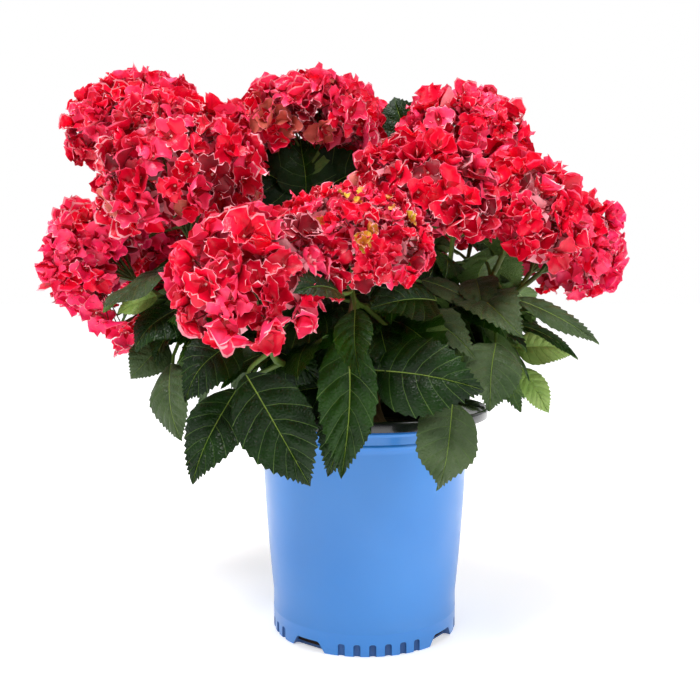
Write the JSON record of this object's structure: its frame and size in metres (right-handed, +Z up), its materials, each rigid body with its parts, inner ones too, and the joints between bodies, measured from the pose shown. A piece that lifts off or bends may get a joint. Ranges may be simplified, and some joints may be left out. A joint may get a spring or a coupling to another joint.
{
  "type": "potted hydrangea shrub",
  "caption": "Mophead hydrangea with crimson flower heads and broad green leaves in a tapered blue pot with a flared black rim.",
  "frame": {"origin": "middle of the pot's flat underside, on the ground", "axes": "+Z up, along the pot's axis and the way the shrub grows; the side that shows in the picture faces -Y, with +X to the right"},
  "size_m": [0.5633, 0.5426, 0.548],
  "materials": {
    "pot_blue": "gloss",
    "pot_black": "gloss",
    "soil": "matte",
    "bark": "matte",
    "leaf": "satin",
    "bloom": "matte"
  },
  "bodies": {
    "root": {"pot": "pot_blue", "soil": "soil", "main_stem": "bark", "bough_front_left": "bark", "bough_front": "bark", "bough_left": "bark", "bough_back_left": "bark", "bough_middle": "bark", "bough_back": "bark", "bough_back_right": "bark", "bough_right": "bark", "leaves_front_left": "leaf", "leaves_front": "leaf", "leaves_left": "leaf", "leaves_back_left": "leaf", "leaves_middle": "leaf", "leaves_back": "leaf", "leaves_back_right": "leaf", "leaves_right": "leaf", "bloom_high_left": "bloom", "bloom_left": "bloom", "bloom_far_left": "bloom", "bloom_top": "bloom", "bloom_low_front": "bloom", "bloom_front": "bloom", "bloom_top_right": "bloom", "bloom_front_right": "bloom", "bloom_right": "bloom", "bloom_far_right": "bloom", "bloom_back_left": "bloom", "bloom_far_back_left": "bloom", "bloom_top_back": "bloom", "bloom_back_right": "bloom", "bloom_far_back_right": "bloom", "bloom_low_back_left": "bloom", "bloom_low_back_right": "bloom"}
  },
  "joints": []
}
